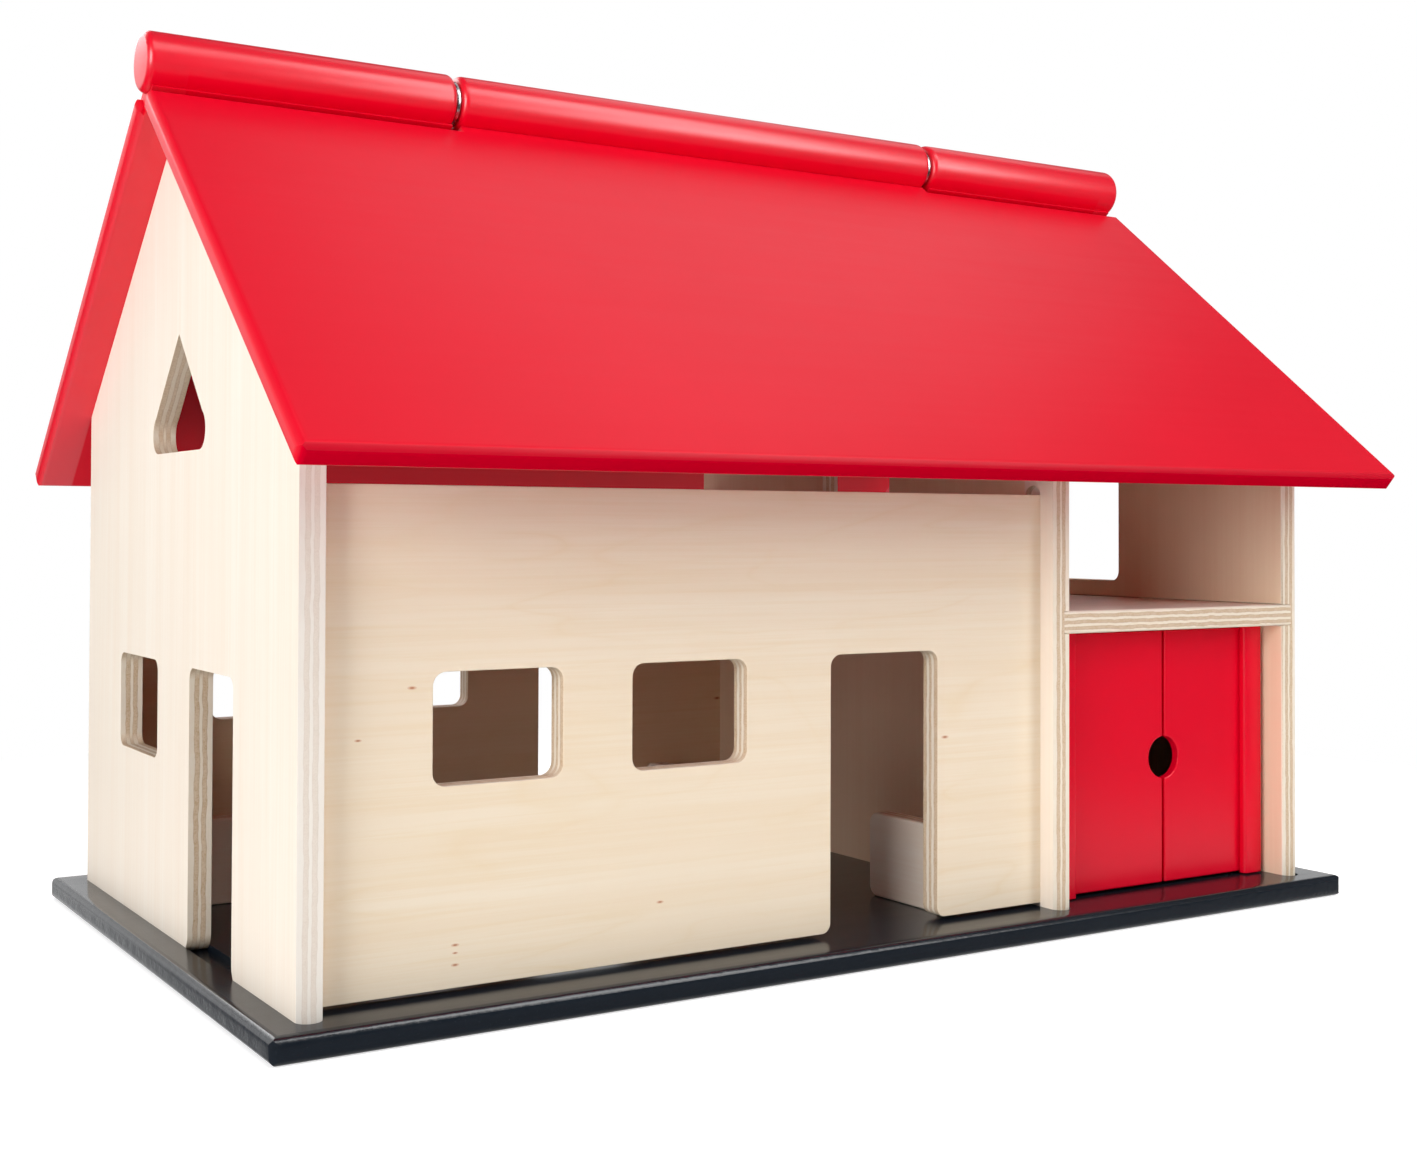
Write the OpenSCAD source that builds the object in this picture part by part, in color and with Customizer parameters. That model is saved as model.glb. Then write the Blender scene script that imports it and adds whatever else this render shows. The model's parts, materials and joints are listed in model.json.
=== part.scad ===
// Toy barn on a board: plywood walls, a roof half that lifts on a knuckled ridge hinge,
// a loft and a pair of stable doors that turn on their own stiles.
// Millimetres. The base rests on z = 0, x runs along the ridge and the front faces -y.

/* [House] */
// Length over both gables
house_l = 600; // [520:1:680]
// Depth of the gables
house_w = 345; // [300:1:400]
// Thickness of the plywood walls
wall_t = 11.5; // [9:0.5:14]
// Height of the gable shoulders above the base
eave_h = 260.8; // [240:0.1:290]
// Slope of the roof in degrees
roof_slope = 39.3; // [34:0.1:43]
// Face of the cross wall, measured from the outside of the left gable
bay_x = 410; // [380:1:440]
// Set back of the front and back panels from the gable edges
panel_setback = 9.8; // [6:0.2:14]
// Height of the top edge of the front and back panels above the base
panel_top = 217.5; // [200:0.5:230]
// Gap under the front and back panels
panel_gap = 2; // [1:0.5:4]
// Depth of the grooves that hold the panel ends
panel_groove = 4; // [3:0.5:5]
// Centre of the round groove ends below the panel tops
groove_dip = 0.8; // [0:0.1:0.9]

/* [Base] */
// Margin of the base board beyond the left gable
base_left = 16; // [8:0.5:45]
// Margin of the base board beyond the right gable
base_right = 19.5; // [8:0.5:45]
// Margin of the base board in front of the gables
base_front = 17; // [8:0.5:45]
// Margin of the base board behind the gables
base_rear = 18.5; // [8:0.5:45]
// Thickness of the base board
base_t = 12; // [9:0.5:18]
// Rounding of the base board edges
base_edge = 4.5; // [2:0.5:5]
// Rounding of the base board corners seen from above
base_corner = 5; // [4:0.5:12]
// Depth of the grooves for the upright walls
base_groove = 3; // [2:0.5:5]
// Run-out of the base grooves beyond the wall edges
base_runout = 4.5; // [3:0.5:8]

/* [Openings] */
// Width of the doorways
door_w = 67; // [55:1:75]
// Height of the doorways above the lower edge of their wall
door_h = 135.5; // [110:0.5:150]
// Height of the square windows
window_h = 49; // [35:1:60]
// Width of the panel windows
window_w = 62.4; // [45:0.2:68]
// Width of the square window in the left gable
gable_window_w = 71; // [50:1:78]
// Corner radius of the windows and doorways
corner_r = 6; // [3:0.5:9]
// Left edge of the first panel window from the outside of the left gable
window_1_x = 63.2; // [50:0.2:75]
// Left edge of the second panel window
window_2_x = 161.3; // [145:0.2:180]
// Left edge of the panel doorway
door_x = 273; // [255:0.5:300]
// Rounding of the foot corners beside the panel doorway
panel_foot_r = 5; // [2:0.5:8]
// Rounding of the foot corners beside the gable doorway
gable_foot_r = 9; // [4:0.5:12]
// Front edge of the gable doorway from the front edge of the gable
gable_door_y = 83.5; // [60:0.5:100]
// Front edge of the gable window
gable_window_y = 204.5; // [180:0.5:220]
// Width of the triangle window over its rounded corners
tri_w = 88.5; // [60:0.5:110]
// Height of the triangle window
tri_h = 57.5; // [40:0.5:75]
// Sill of the triangle window above the base
tri_z = 235.5; // [225:0.5:250]
// Corner radius of the triangle window
tri_r = 9.5; // [4:0.5:12]
// Width of the loft window in the right gable
loft_window_w = 84; // [60:1:110]
// Height of the loft window
loft_window_h = 80; // [50:1:100]
// Sill of the loft window above the loft floor
loft_sill = 10.5; // [6:0.5:20]
// Height of the hatch in the cross wall
hatch_h = 86; // [60:1:100]

/* [Loft and stalls] */
// Top of the loft floor above the base
loft_z = 156; // [145:0.5:170]
// Thickness of the loft floor
loft_t = 12; // [9:0.5:15]
// Depth of the loft groove in the cross wall
loft_groove_left = 3.5; // [2:0.5:5]
// Depth of the loft groove in the right gable
loft_groove_right = 7.5; // [4:0.5:8]
// Length of a stall board
stall_l = 61; // [45:1:80]
// Height of a stall board
stall_h = 45; // [30:1:60]
// Thickness of a stall board
stall_t = 12; // [9:0.5:15]
// Corner radius of a stall board
stall_r = 6; // [3:0.5:12]
// Face of the front and back stall boards from the outside of the left gable
stall_x = 352; // [344:1:380]
// Front face of the left stall board from the gable front edge
stall_y = 240; // [200:1:280]

/* [Roof] */
// Thickness of the roof boards
roof_t = 11.5; // [8:0.5:13]
// Overhang of the roof beyond each gable
roof_side = 19.6; // [10:0.2:30]
// Overhang below the gable shoulders, along the slope
roof_eave = 63; // [40:0.5:75]
// Rounding of the roof board edges
roof_edge = 4.4; // [2:0.1:5]
// Corner radius of the roof boards
roof_corner = 5; // [4.4:0.2:10]
// Radius of the ridge bars
knuckle_r = 15; // [12:0.5:18]
// Height of the hinge axis above the peak of the gables
axis_rise = 21.1; // [20:0.1:26]
// Reach of the ridge bars beyond the left gable
bar_left = 19.6; // [10:0.2:30]
// Reach of the ridge bars beyond the right gable
bar_right = 16.6; // [10:0.2:30]
// Length of the middle ridge bar
knuckle_mid_l = 313; // [260:1:360]
// Gap between the ridge bars, filled by a washer
knuckle_gap = 3; // [2:0.5:5]
// Rounding of the ridge bar ends
knuckle_end = 3.5; // [2:0.5:5]
// Distance of the cut-back roof edge from the peak, along the slope
cutback = 3.6; // [3.2:0.2:6]
// Reach of the hinge tab past the peak, along the slope
tab_reach = 12; // [5:0.5:13]
// Side clearance of a hinge tab in the notch of the other board
tab_side_gap = 1; // [0.6:0.2:2]
// Radius of the hinge rod
rod_r = 4; // [2:0.25:5]
// Distance of the rod ends inside the roof ends
rod_inset = 25; // [10:1:60]
// Outer radius of the ridge washers
washer_r = 12; // [7:0.5:13]
// Thickness of the ridge washers
washer_t = 2; // [1:0.2:2.4]

/* [Doors] */
// Width of the square door stiles
stile_w = 14.5; // [12:0.5:17]
// Rounding of the stile edges
stile_r = 2.2; // [1.5:0.1:4]
// Clearance beside each stile
stile_gap = 3; // [2.6:0.1:5]
// Set back of the stile fronts from the wall edges
stile_setback = 12; // [9:0.5:20]
// Thickness of the door leaves
leaf_t = 5; // [4:0.25:7]
// Depth of the leaf groove in a stile
leaf_groove = 4; // [3:0.25:5]
// Gap between the two leaves
leaf_gap = 2; // [1.5:0.25:4]
// Gap under and above the leaves
leaf_end_gap = 1.5; // [1:0.25:3]
// Gap under and above the stiles
stile_end_gap = 0.6; // [0.4:0.1:1.5]
// Shift of the gap between the doors towards the right gable
leaf_shift = 4.5; // [0:0.5:8]
// Radius of the finger hole
finger_r = 11.5; // [8:0.5:15]
// Height of the finger hole above the base
finger_z = 71.5; // [55:0.5:85]
// Radius of the pivot pins
pin_r = 2.5; // [2:0.25:3.5]
// Depth of the pin in the stile
pin_in = 14; // [8:1:25]
// Reach of the pin into base and loft
pin_out = 7; // [5:0.5:8]

/* [Fixings] */
// Radius of the base screws
screw_r = 2; // [1.5:0.25:2.5]
// Radius of the countersunk screw heads
screw_head_r = 4; // [3:0.25:4.5]
// Length of the base screws
screw_l = 32; // [25:1:45]
// Front screw of each wall from the front edge of the gable
screw_front = 48; // [30:1:70]
// Middle screw of each wall from the rear edge of the gable
screw_mid = 110; // [80:1:130]
// Rear screw of each wall from the rear edge of the gable
screw_rear = 34.5; // [30:0.5:60]
// Radius of the roof dowels
dowel_r = 3; // [2:0.25:3.5]
// Length of the roof dowels
dowel_l = 24; // [18:1:30]
// Depth of the roof dowels in the roof board
dowel_in = 5; // [3:0.5:6]
// Upper roof dowels from the peak, along the slope
dowel_up = 62; // [40:1:90]
// Lower roof dowels from the peak, along the slope
dowel_down = 177; // [120:1:185]

/* [Fits] */
// Clearance of a board in its groove, on each side
fit_groove = 0.1; // [0.05:0.05:0.3]
// Radial clearance of a running pin
fit_run = 0.08; // [0.04:0.01:0.1]
// Radial clearance of a glued or driven pin
fit_glue = 0.03; // [0.01:0.01:0.05]
// Glue line between a roof tab and its ridge bar
fit_tab = 0.1; // [0.05:0.05:0.2]
// Clearance between the roof boards and the wall slopes
fit_roof = 0.1; // [0.05:0.05:0.3]

/* [Hidden] */

$fn = 48;
eps = 0.01;
half_l = house_l / 2;
half_w = house_w / 2;
peak_h = eave_h + half_w * tan(roof_slope);
axis_h = peak_h + axis_rise;
slope_l = half_w / cos(roof_slope);

base_l = house_l + base_left + base_right;
base_w = house_w + base_front + base_rear;
right_x = house_l - wall_t;
bay_r = bay_x + wall_t;
panel_in = panel_setback + wall_t;
back_in = house_w - panel_in;
groove_top = panel_top - groove_dip + wall_t / 2 + fit_groove;

// Place of the hinge axis in the frame of a roof board: along the slope and above its underside
axis_s = -axis_rise * sin(roof_slope);
axis_n = axis_rise * cos(roof_slope);
eave_s = slope_l + roof_eave;
roof_l = house_l + 2 * roof_side;
mid_x = (house_l - knuckle_mid_l) / 2;
bar_left_l = bar_left + mid_x - knuckle_gap;
bar_right_l = bar_right + mid_x - knuckle_gap;
rod_l = bar_left + house_l + bar_right - 2 * rod_inset;

wall_gap_l = bay_r + stile_gap + stile_w / 2;
wall_gap_r = right_x - stile_gap - stile_w / 2;
stile_y = stile_setback + stile_w / 2;
door_mid = (wall_gap_l + wall_gap_r) / 2 + leaf_shift;
loft_under = loft_z - loft_t;
wall_mid = [wall_t / 2, bay_x + wall_t / 2, right_x + wall_t / 2];
screw_y = [screw_front, house_w - screw_mid, house_w - screw_rear];
screw_sink = 0.2;

// From house coordinates (left gable outside, gable front edge, base top) to the row frame
module place() {
    translate([-half_l, -half_w, base_t])
        children();
}

// Flat board standing along x, its profile drawn in x and z
module along_x(y, t) {
    translate([0, y + t, 0])
        rotate([90, 0, 0])
            linear_extrude(t)
                children();
}

// Flat board standing along y, its profile drawn in y and z
module along_y(x, t) {
    translate([x, 0, 0])
        rotate([90, 0, 90])
            linear_extrude(t)
                children();
}

// Rectangle with four rounded corners
module round_rect(x0, y0, x1, y1, r) {
    translate([x0 + r, y0])
        square([x1 - x0 - 2 * r, y1 - y0]);
    translate([x0, y0 + r])
        square([x1 - x0, y1 - y0 - 2 * r]);
    for (x = [x0 + r, x1 - r])
        for (y = [y0 + r, y1 - r])
            translate([x, y])
                circle(r);
}

// Slot with half-round ends, drawn along y
module slot(x0, x1, y0, y1) {
    w = x1 - x0;
    translate([x0, y0 + w / 2])
        square([w, y1 - y0 - w]);
    for (y = [y0 + w / 2, y1 - w / 2])
        translate([x0 + w / 2, y])
            circle(w / 2);
}

// Doorway open at the floor, with rounded head and rounded foot corners
module doorway(x, floor_z, w, h, head_r, foot_r) {
    difference() {
        union() {
            translate([x, floor_z - 1])
                square([w, h - head_r + 1]);
            translate([x + head_r, floor_z])
                square([w - 2 * head_r, h]);
            for (cx = [x + head_r, x + w - head_r])
                translate([cx, floor_z + h - head_r])
                    circle(head_r);
            translate([x - foot_r, floor_z - 1])
                square([w + 2 * foot_r, foot_r + 1]);
        }
        for (cx = [x - foot_r, x + w + foot_r])
            translate([cx, floor_z + foot_r])
                circle(foot_r);
    }
}

// Triangle window: a pointed top and two rounded lower corners
module triangle_window() {
    cx = tri_w / 2 - tri_r;
    dist = sqrt(cx * cx + (tri_h - tri_r) * (tri_h - tri_r));
    turn = 90 - atan2(tri_h - tri_r, cx) - asin(tri_r / dist);
    px = cx + tri_r * cos(turn);
    py = tri_r + tri_r * sin(turn);
    polygon([[0, tri_h], [-px, py], [-cx, tri_r], [-cx, 0], [cx, 0], [cx, tri_r], [px, py]]);
    for (x = [-cx, cx])
        translate([x, tri_r])
            circle(tri_r);
}

// Outline of a full-height wall with the roof slopes, standing in the base grooves
module gable_outline() {
    polygon([[0, -base_groove], [house_w, -base_groove], [house_w, eave_h],
        [half_w, peak_h], [0, eave_h]]);
}

// Routed grooves that take the ends of the front and back panels, cut into the face at x
module panel_grooves(x) {
    for (y = [panel_setback, back_in])
        along_y(x, panel_groove + eps)
            union() {
                translate([y - fit_groove, -base_groove - 1])
                    square([wall_t + 2 * fit_groove, panel_top - groove_dip + base_groove + 1]);
                translate([y + wall_t / 2, panel_top - groove_dip])
                    circle(wall_t / 2 + fit_groove);
            }
}

// Groove for the loft floor, cut into the face at x
module loft_groove(x, deep) {
    translate([x, -1, loft_under - fit_groove])
        cube([deep + eps, back_in + 1 + fit_groove, loft_t + 2 * fit_groove]);
}

// Bores in the wall tops for the dowels of the rear roof board
module roof_dowels(r, extra, x_list) {
    for (x = x_list)
        for (s = [dowel_up, dowel_down])
            translate([x, half_w + s * cos(roof_slope), peak_h - s * sin(roof_slope)])
                rotate([-roof_slope, 0, 0])
                    translate([0, 0, dowel_in - dowel_l - extra])
                        cylinder(r = r, h = dowel_l + 2 * extra);
}

// Screws from under the base into the lower edges of the walls
module screw_holes(r, x_list) {
    for (x = x_list)
        for (y = screw_y)
            translate([x, y, -base_t - 1])
                cylinder(r = r, h = screw_l + 1 + 0.5);
}

// Board with all edges rounded, lying in x and y from z = 0 up
module soft_board(x0, y0, x1, y1, t, edge, corner) {
    intersection() {
        linear_extrude(t)
            round_rect(x0, y0, x1, y1, corner);
        translate([0, y1 + 1, 0])
            rotate([90, 0, 0])
                linear_extrude(y1 - y0 + 2)
                    round_rect(x0, 0, x1, t, edge);
        translate([x0 - 1, 0, 0])
            rotate([90, 0, 90])
                linear_extrude(x1 - x0 + 2)
                    round_rect(y0, 0, y1, t, edge);
    }
}

module base_board() {
    color("#23282e")
        difference() {
            translate([-half_l - base_left, -half_w - base_front, 0])
                soft_board(0, 0, base_l, base_w, base_t, base_edge, base_corner);
            place()
                union() {
                    for (x = [0, bay_x, right_x])
                        translate([0, 0, -base_groove - fit_groove])
                            linear_extrude(base_groove + fit_groove + 1)
                                slot(x - fit_groove, x + wall_t + fit_groove,
                                    -base_runout, house_w + base_runout);
                    for (x = [wall_gap_l, wall_gap_r])
                        translate([x, stile_y, -pin_out - stile_end_gap - 0.4])
                            cylinder(r = pin_r + fit_run, h = 20);
                    screw_holes(screw_r + fit_glue, wall_mid);
                    for (x = wall_mid)
                        for (y = screw_y)
                            translate([x, y, -base_t - 1])
                                cylinder(r1 = screw_head_r + 1 + screw_sink + fit_run, r2 = screw_r,
                                    h = screw_head_r - screw_r + 1 + screw_sink + fit_run);
                }
        }
}

module left_gable() {
    color("#efdcc0")
        place()
            difference() {
                along_y(0, wall_t)
                    difference() {
                        gable_outline();
                        doorway(gable_door_y, -base_groove, door_w, door_h, corner_r, gable_foot_r);
                        round_rect(gable_window_y, door_h - base_groove - window_h,
                            gable_window_y + gable_window_w, door_h - base_groove, corner_r);
                        translate([half_w, tri_z])
                            triangle_window();
                    }
                translate([wall_t - panel_groove, 0, 0])
                    panel_grooves(0);
                roof_dowels(dowel_r + fit_glue, 1, [wall_mid[0]]);
                screw_holes(screw_r + fit_glue, [wall_mid[0]]);
            }
}

module right_gable() {
    color("#efdcc0")
        place()
            difference() {
                along_y(right_x, wall_t)
                    difference() {
                        gable_outline();
                        round_rect(half_w - loft_window_w / 2, loft_z + loft_sill,
                            half_w + loft_window_w / 2, loft_z + loft_sill + loft_window_h, corner_r);
                    }
                translate([right_x - eps, 0, 0])
                    union() {
                        translate([0, back_in - fit_groove, -base_groove - 1])
                            cube([panel_groove, wall_t + 2 * fit_groove, groove_top + base_groove + 1]);
                        loft_groove(0, loft_groove_right);
                    }
                roof_dowels(dowel_r + fit_glue, 1, [wall_mid[2]]);
                screw_holes(screw_r + fit_glue, [wall_mid[2]]);
            }
}

module partition_wall() {
    color("#efdcc0")
        place()
            difference() {
                along_y(bay_x, wall_t)
                    difference() {
                        gable_outline();
                        round_rect(half_w - door_w / 2, loft_z + loft_sill,
                            half_w + door_w / 2, loft_z + loft_sill + hatch_h, corner_r);
                    }
                translate([bay_x - eps, 0, 0])
                    panel_grooves(0);
                translate([bay_r - panel_groove, back_in - fit_groove, -base_groove - 1])
                    cube([panel_groove + 1, wall_t + 2 * fit_groove, groove_top + base_groove + 1]);
                translate([bay_r - loft_groove_left, 0, 0])
                    loft_groove(0, loft_groove_left + 1);
                roof_dowels(dowel_r + fit_glue, 1, [wall_mid[1]]);
                screw_holes(screw_r + fit_glue, [wall_mid[1]]);
            }
}

// Panel with two windows and a doorway, the same at the front and at the back
module window_panel(y) {
    along_x(y, wall_t)
        difference() {
            translate([wall_t - panel_groove + fit_groove, panel_gap])
                square([bay_x - wall_t + 2 * panel_groove - 2 * fit_groove, panel_top - panel_gap]);
            doorway(door_x, panel_gap, door_w, door_h, corner_r, panel_foot_r);
            for (x = [window_1_x, window_2_x])
                round_rect(x, panel_gap + door_h - window_h, x + window_w, panel_gap + door_h, corner_r);
        }
}

module front_wall() {
    color("#f1dfc4")
        place()
            window_panel(panel_setback);
}

module back_wall() {
    color("#e8d3b4")
        place()
            window_panel(back_in);
}

module stable_back_wall() {
    color("#e8d3b4")
        place()
            translate([bay_r - panel_groove + fit_groove, back_in, panel_gap])
                cube([right_x - bay_r + 2 * panel_groove - 2 * fit_groove, wall_t, panel_top - panel_gap]);
}

module loft_floor() {
    color("#ecd8b8")
        place()
            difference() {
                translate([bay_r - loft_groove_left + fit_groove, 0, loft_under])
                    cube([right_x - bay_r + loft_groove_left + loft_groove_right - 2 * fit_groove,
                        back_in, loft_t]);
                for (x = [wall_gap_l, wall_gap_r])
                    translate([x, stile_y, loft_under - 10])
                        cylinder(r = pin_r + fit_run, h = 10 + pin_out + stile_end_gap + 0.4);
            }
}

module front_stall_board() {
    color("#d9bf9c")
        place()
            along_y(stall_x, stall_t)
                round_rect(panel_in, 0, panel_in + stall_l, stall_h, stall_r);
}

module back_stall_board() {
    color("#d9bf9c")
        place()
            along_y(stall_x, stall_t)
                round_rect(back_in - stall_l, 0, back_in, stall_h, stall_r);
}

module left_stall_board() {
    color("#d9bf9c")
        place()
            along_x(stall_y, stall_t)
                round_rect(wall_t, 0, wall_t + stall_l, stall_h, stall_r);
}

// Roof board in its own frame: x along the ridge, y down the slope, z above the underside
module roof_board(tabs) {
    difference() {
        union() {
            soft_board(-roof_side, cutback, house_l + roof_side, eave_s, roof_t, roof_edge, roof_corner);
            for (t = tabs)
                translate([t[0], -tab_reach, 0])
                    cube([t[1] - t[0], tab_reach + cutback + 2 * roof_edge, roof_t]);
        }
        translate([-roof_side - 1, axis_s, axis_n - fit_roof])
            rotate([0, 90, 0])
                cylinder(r = knuckle_r + fit_tab, h = roof_l + 2);
    }
}

module front_roof_panel() {
    color("#d4122a")
        place()
            translate([0, half_w, peak_h])
                rotate([roof_slope, 0, 0])
                    translate([0, 0, fit_roof])
                        mirror([0, 1, 0])
                            roof_board([[mid_x + tab_side_gap, mid_x + knuckle_mid_l - tab_side_gap]]);
}

module rear_roof_panel() {
    color("#c41028")
        place()
            difference() {
                translate([0, half_w, peak_h])
                    rotate([-roof_slope, 0, 0])
                        translate([0, 0, fit_roof])
                            roof_board([
                                [knuckle_end - bar_left, mid_x - knuckle_gap - tab_side_gap],
                                [mid_x + knuckle_mid_l + knuckle_gap + tab_side_gap,
                                    house_l + bar_right - knuckle_end]]);
                roof_dowels(dowel_r + fit_glue, 0.2, wall_mid);
            }
}

module rear_roof_dowels() {
    color("#dcc39a")
        place()
            roof_dowels(dowel_r, 0, wall_mid);
}

// Ridge bar with rounded ends and a bore for the rod
module knuckle(x, len, bore) {
    translate([x, half_w, axis_h])
        rotate([0, 90, 0])
            rotate_extrude()
                difference() {
                    union() {
                        square([knuckle_r - knuckle_end, len]);
                        translate([0, knuckle_end])
                            square([knuckle_r, len - 2 * knuckle_end]);
                        for (z = [knuckle_end, len - knuckle_end])
                            translate([knuckle_r - knuckle_end, z])
                                circle(knuckle_end);
                    }
                    translate([-1, -1])
                        square([bore + 1, len + 2]);
                }
}

// Outer bar with a blind bore, closed towards the roof end
module side_knuckle(x, len, rod_from) {
    difference() {
        knuckle(x, len, 0);
        translate([rod_from, half_w, axis_h])
            rotate([0, 90, 0])
                cylinder(r = rod_r + fit_glue, h = len - rod_inset + 2);
    }
}

module left_ridge_knuckle() {
    color("#d4122a")
        place()
            side_knuckle(-bar_left, bar_left_l, -bar_left + rod_inset);
}

module right_ridge_knuckle() {
    x = house_l + bar_right - bar_right_l;
    color("#d4122a")
        place()
            side_knuckle(x, bar_right_l, x - 2);
}

module middle_ridge_knuckle() {
    color("#e0142e")
        place()
            knuckle(mid_x, knuckle_mid_l, rod_r + fit_run);
}

module ridge_rod() {
    color("#b9bec4")
        place()
            translate([rod_inset - bar_left, half_w, axis_h])
                rotate([0, 90, 0])
                    cylinder(r = rod_r, h = rod_l);
}

module ridge_washers() {
    color("#c8ccd0")
        place()
            for (x = [mid_x - knuckle_gap / 2, mid_x + knuckle_mid_l + knuckle_gap / 2])
                translate([x - washer_t / 2, half_w, axis_h])
                    rotate([0, 90, 0])
                        difference() {
                            cylinder(r = washer_r, h = washer_t);
                            translate([0, 0, -1])
                                cylinder(r = rod_r + fit_run, h = washer_t + 2);
                        }
}

// Door stile turning about its own centre, with the leaf groove on the side given by dir
module stile(x, dir) {
    translate([x, stile_y, 0])
        difference() {
            translate([0, 0, stile_end_gap])
                linear_extrude(loft_under - 2 * stile_end_gap)
                    difference() {
                        round_rect(-stile_w / 2, -stile_w / 2, stile_w / 2, stile_w / 2, stile_r);
                        translate([dir > 0 ? stile_w / 2 - leaf_groove : -stile_w / 2 - 1,
                            -leaf_t / 2 - fit_groove])
                            square([leaf_groove + 1, leaf_t + 2 * fit_groove]);
                    }
            for (z = [-1, loft_under - stile_end_gap - pin_in])
                translate([0, 0, z])
                    cylinder(r = pin_r + fit_glue, h = pin_in + stile_end_gap + 1);
        }
}

// Door leaf in the plane of its stile, with half of the finger hole
module leaf(x_in, x_out) {
    along_x(stile_y - leaf_t / 2, leaf_t)
        difference() {
            translate([min(x_in, x_out), leaf_end_gap])
                square([abs(x_out - x_in), loft_under - 2 * leaf_end_gap]);
            translate([door_mid, finger_z])
                circle(finger_r);
        }
}

// Two pins on the axis of a stile, running in the base and in the loft floor
module stile_pins(x) {
    for (z = [-pin_out, loft_under - stile_end_gap - pin_in + 0.2])
        translate([x, stile_y, z])
            cylinder(r = pin_r, h = pin_in + stile_end_gap + pin_out - 0.2);
}

module left_door_stile() {
    color("#cf1026")
        place()
            stile(wall_gap_l, 1);
}

module left_door_leaf() {
    color("#d4122a")
        place()
            leaf(wall_gap_l + stile_w / 2 - leaf_groove + fit_groove, door_mid - leaf_gap / 2);
}

module left_door_pins() {
    color("#b9bec4")
        place()
            stile_pins(wall_gap_l);
}

module right_door_stile() {
    color("#cf1026")
        place()
            stile(wall_gap_r, -1);
}

module right_door_leaf() {
    color("#d4122a")
        place()
            leaf(wall_gap_r - stile_w / 2 + leaf_groove - fit_groove, door_mid + leaf_gap / 2);
}

module right_door_pins() {
    color("#b9bec4")
        place()
            stile_pins(wall_gap_r);
}

// Countersunk screws under the base
module base_screws() {
    color("#a9aeb3")
        place()
            for (x = wall_mid)
                for (y = screw_y)
                    translate([x, y, -base_t + screw_sink])
                        union() {
                            cylinder(r1 = screw_head_r, r2 = screw_r, h = screw_head_r - screw_r);
                            cylinder(r = screw_r, h = screw_l - 1);
                        }
}

base_board();
left_gable();
right_gable();
partition_wall();
front_wall();
back_wall();
stable_back_wall();
loft_floor();
front_stall_board();
left_stall_board();
back_stall_board();
rear_roof_panel();
rear_roof_dowels();
left_ridge_knuckle();
right_ridge_knuckle();
ridge_rod();
ridge_washers();
front_roof_panel();
middle_ridge_knuckle();
left_door_stile();
left_door_leaf();
left_door_pins();
right_door_stile();
right_door_leaf();
right_door_pins();
base_screws();
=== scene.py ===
# %% [markdown]
# # A plywood toy barn with a red hinged roof
#
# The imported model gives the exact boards. This lesson dresses them: the arrises that a
# sander breaks, the plies that show on every cut edge, a satin red lacquer, a black lacquered
# board and a little bright steel. The scene is in metres and the object stands on z = 0. House
# places, the sizes of patterns and the radii of broken edges are given in millimetres, and MM
# turns them into metres.

# %% Load the fixed frame
import json
import math
import bmesh
import bpy
import numpy as np
from mathutils import Matrix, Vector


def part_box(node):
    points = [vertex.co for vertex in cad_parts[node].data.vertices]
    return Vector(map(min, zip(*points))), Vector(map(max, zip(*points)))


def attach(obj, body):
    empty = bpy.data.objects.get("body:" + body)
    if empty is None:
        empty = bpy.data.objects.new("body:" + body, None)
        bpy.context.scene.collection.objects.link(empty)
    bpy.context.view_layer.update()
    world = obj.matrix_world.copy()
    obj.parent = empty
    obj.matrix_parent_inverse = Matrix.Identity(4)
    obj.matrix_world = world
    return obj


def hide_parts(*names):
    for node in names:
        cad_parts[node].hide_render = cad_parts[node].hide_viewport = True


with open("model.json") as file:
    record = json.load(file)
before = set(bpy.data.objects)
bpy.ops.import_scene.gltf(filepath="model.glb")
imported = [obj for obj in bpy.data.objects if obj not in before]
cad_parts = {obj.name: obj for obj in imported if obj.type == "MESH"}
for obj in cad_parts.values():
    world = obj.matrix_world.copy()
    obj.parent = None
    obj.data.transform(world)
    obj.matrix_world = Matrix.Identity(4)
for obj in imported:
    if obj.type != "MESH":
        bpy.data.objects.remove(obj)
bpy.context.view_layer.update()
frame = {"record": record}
MM = 0.001

# %% [markdown]
# ## The boards' places
#
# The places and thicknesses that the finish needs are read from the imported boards, so the dressing
# follows them.
# House places are measured in millimetres from the front corner of the left gable, where it
# meets the top of the base board: x along the ridge, y to the back and z up.

# %% Measures of the house


def box_mm(node):
    """Low and high corner of a node in millimetres."""
    return np.array(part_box(node)) / MM


gable_low, gable_high = box_mm("left_gable")
HOUSE = np.array([gable_low[0], gable_low[1], box_mm("base_board")[1][2]])
WALL = gable_high[0] - gable_low[0]
DEPTH = gable_high[1] - gable_low[1]
BAY = box_mm("partition_wall")[0][0] - HOUSE[0]
RIGHT = box_mm("right_gable")[0][0] - HOUSE[0]
PANEL_FRONT = box_mm("front_wall")[0][1] - HOUSE[1]
PANEL_BACK = box_mm("back_wall")[0][1] - HOUSE[1]
PANEL_TOP = box_mm("front_wall")[1][2] - HOUSE[2]
print("wall", round(WALL, 2), "mm, depth", round(DEPTH, 2), "mm, cross wall at", round(BAY, 2), "mm")

# %% [markdown]
# ## Camera
#
# The picture was taken from the front left, a little above the base, with a lens of moderate
# length. The place, the turn and the focal length were solved from edges whose places on the
# barn are known. The picture was cropped off centre, so the lens is shifted instead of tilted,
# which keeps the upright edges of the walls as upright as they are in the picture.

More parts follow.
